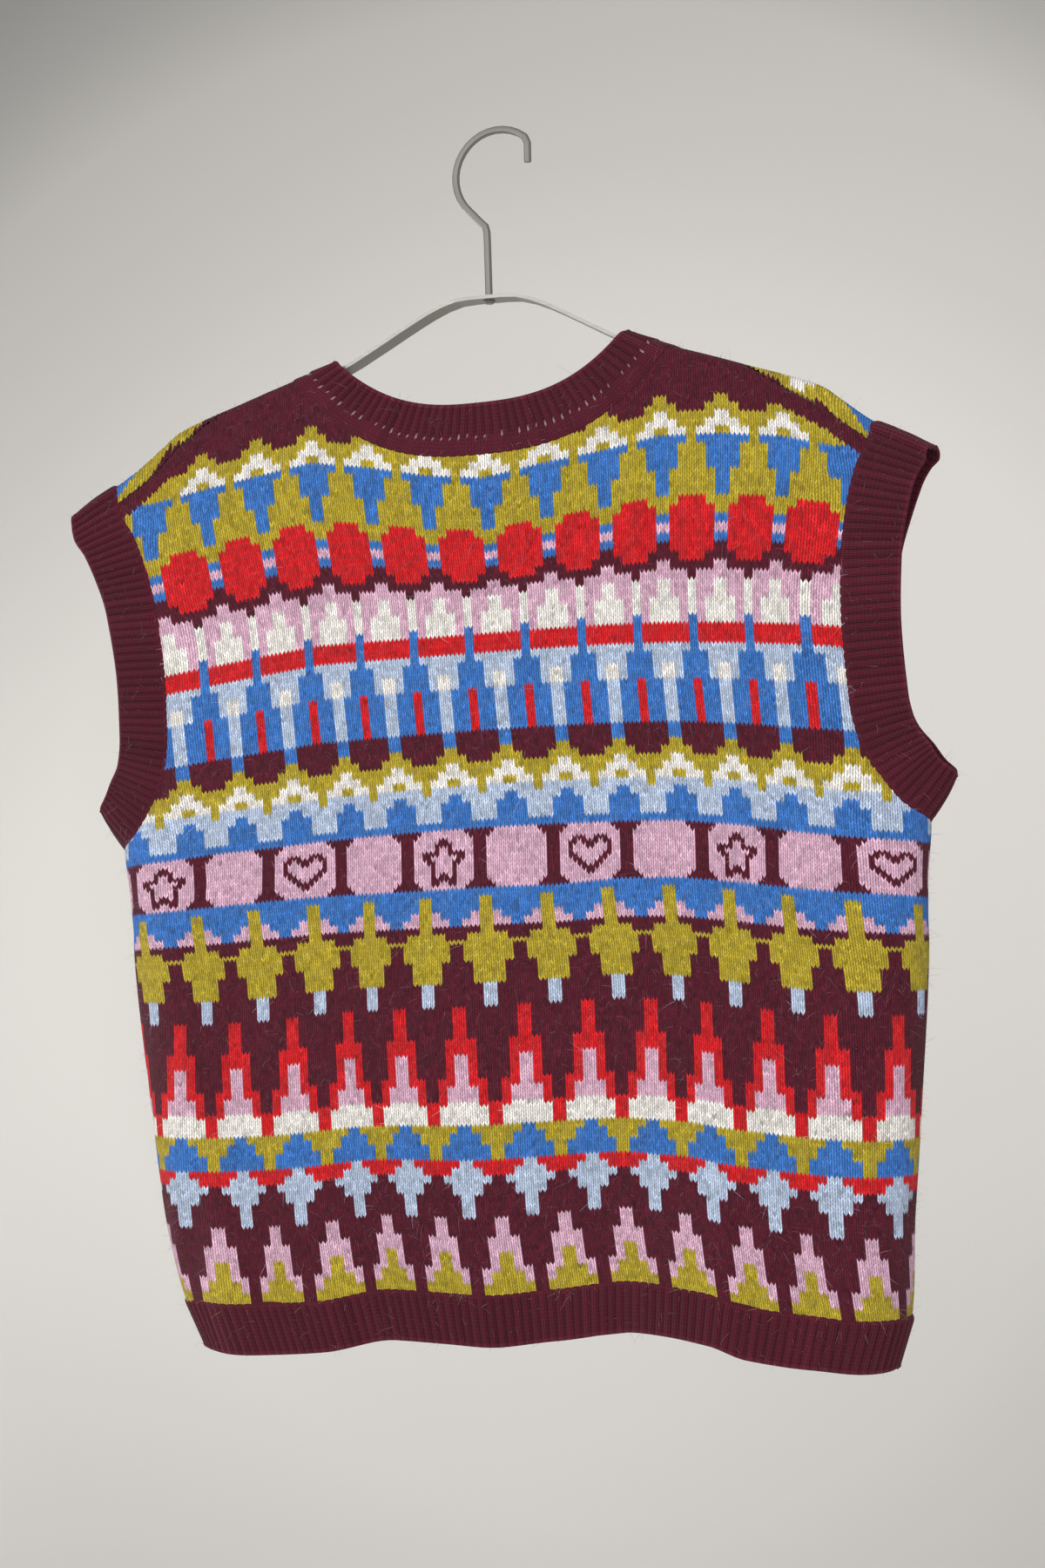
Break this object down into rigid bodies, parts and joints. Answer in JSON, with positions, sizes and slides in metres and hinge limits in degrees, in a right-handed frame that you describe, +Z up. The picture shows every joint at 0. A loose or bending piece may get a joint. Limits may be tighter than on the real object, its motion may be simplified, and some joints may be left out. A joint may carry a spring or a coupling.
{
  "type": "sweater vest on a hanger",
  "caption": "Sleeveless knitted vest with ribbed neck, armholes and hem, hanging flat on a plain metal strip hanger with a round-wire hook.",
  "frame": {"origin": "the inner top of the hook, where the hanger hangs", "axes": "+Z up; +X to the right of someone who looks at the vest's back; +Y from the back of the vest to its front"},
  "size_m": [0.5765, 0.0751, 0.766],
  "materials": {
    "patterned_knit": "stranded wool knit in horizontal bands of motifs, matt, with a soft nap",
    "plum_rib": "plum wool in one-by-one rib, matt, with a soft nap",
    "brushed_metal": "plain, lightly brushed"
  },
  "bodies": {
    "root": {"back_panel": "patterned_knit", "front_panel": "patterned_knit", "neckband": "plum_rib", "armband_left": "plum_rib", "armband_right": "plum_rib", "hem_rib_back": "plum_rib", "hem_rib_front": "plum_rib", "hanger_bar": "brushed_metal", "hanger_hook": "brushed_metal"}
  },
  "joints": []
}
